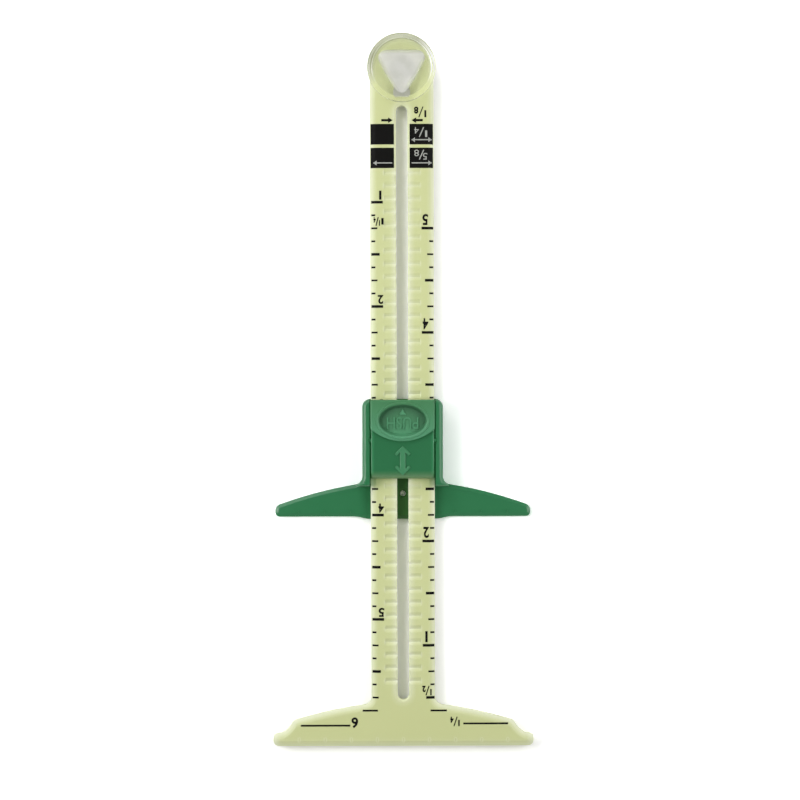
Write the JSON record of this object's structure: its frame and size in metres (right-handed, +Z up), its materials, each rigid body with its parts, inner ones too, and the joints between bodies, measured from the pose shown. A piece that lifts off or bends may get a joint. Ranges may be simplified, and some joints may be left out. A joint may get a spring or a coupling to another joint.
{
  "type": "sewing gauge",
  "caption": "Slotted plastic sewing gauge with a T-shaped head, a winged slider that clicks along notches, a rocking release button and a turning clear anchor.",
  "frame": {"origin": "middle of the space the gauge takes, on the surface it lies on", "axes": "+X to the right seen from above, +Y from the T-shaped head to the anchor, +Z up from the table"},
  "size_m": [0.0636, 0.1734, 0.0074],
  "materials": {
    "pale_plastic": "satin",
    "green_plastic": "satin",
    "spring_steel": "plain",
    "clear_plastic": "polished clear"
  },
  "bodies": {
    "ruler": {"ruler": "pale_plastic"},
    "slider": {"slider_body": "green_plastic"},
    "button": {"release_button": "green_plastic", "latch_spring": "spring_steel"},
    "anchor": {"anchor_button": "clear_plastic", "anchor_foot": "clear_plastic"}
  },
  "joints": [
    {"name": "slider_slide", "type": "slide", "parent": "ruler", "child": "slider", "axis": [0, 1, 0], "range_m": [-0.0508, 0.06985]},
    {"name": "button_press", "type": "hinge", "parent": "slider", "child": "button", "pos_m": [0, -0.01219, 0.00565], "axis": [-1, 0, 0], "range_deg": [0, 4], "stiffness_Nm_per_rad": 0.1, "springref_deg": -5.73, "deforming": ["latch_spring"]},
    {"name": "anchor_spin", "type": "hinge", "parent": "ruler", "child": "anchor", "pos_m": [0, 0.07838, 0], "axis": [0, 0, 1], "continuous": true}
  ]
}
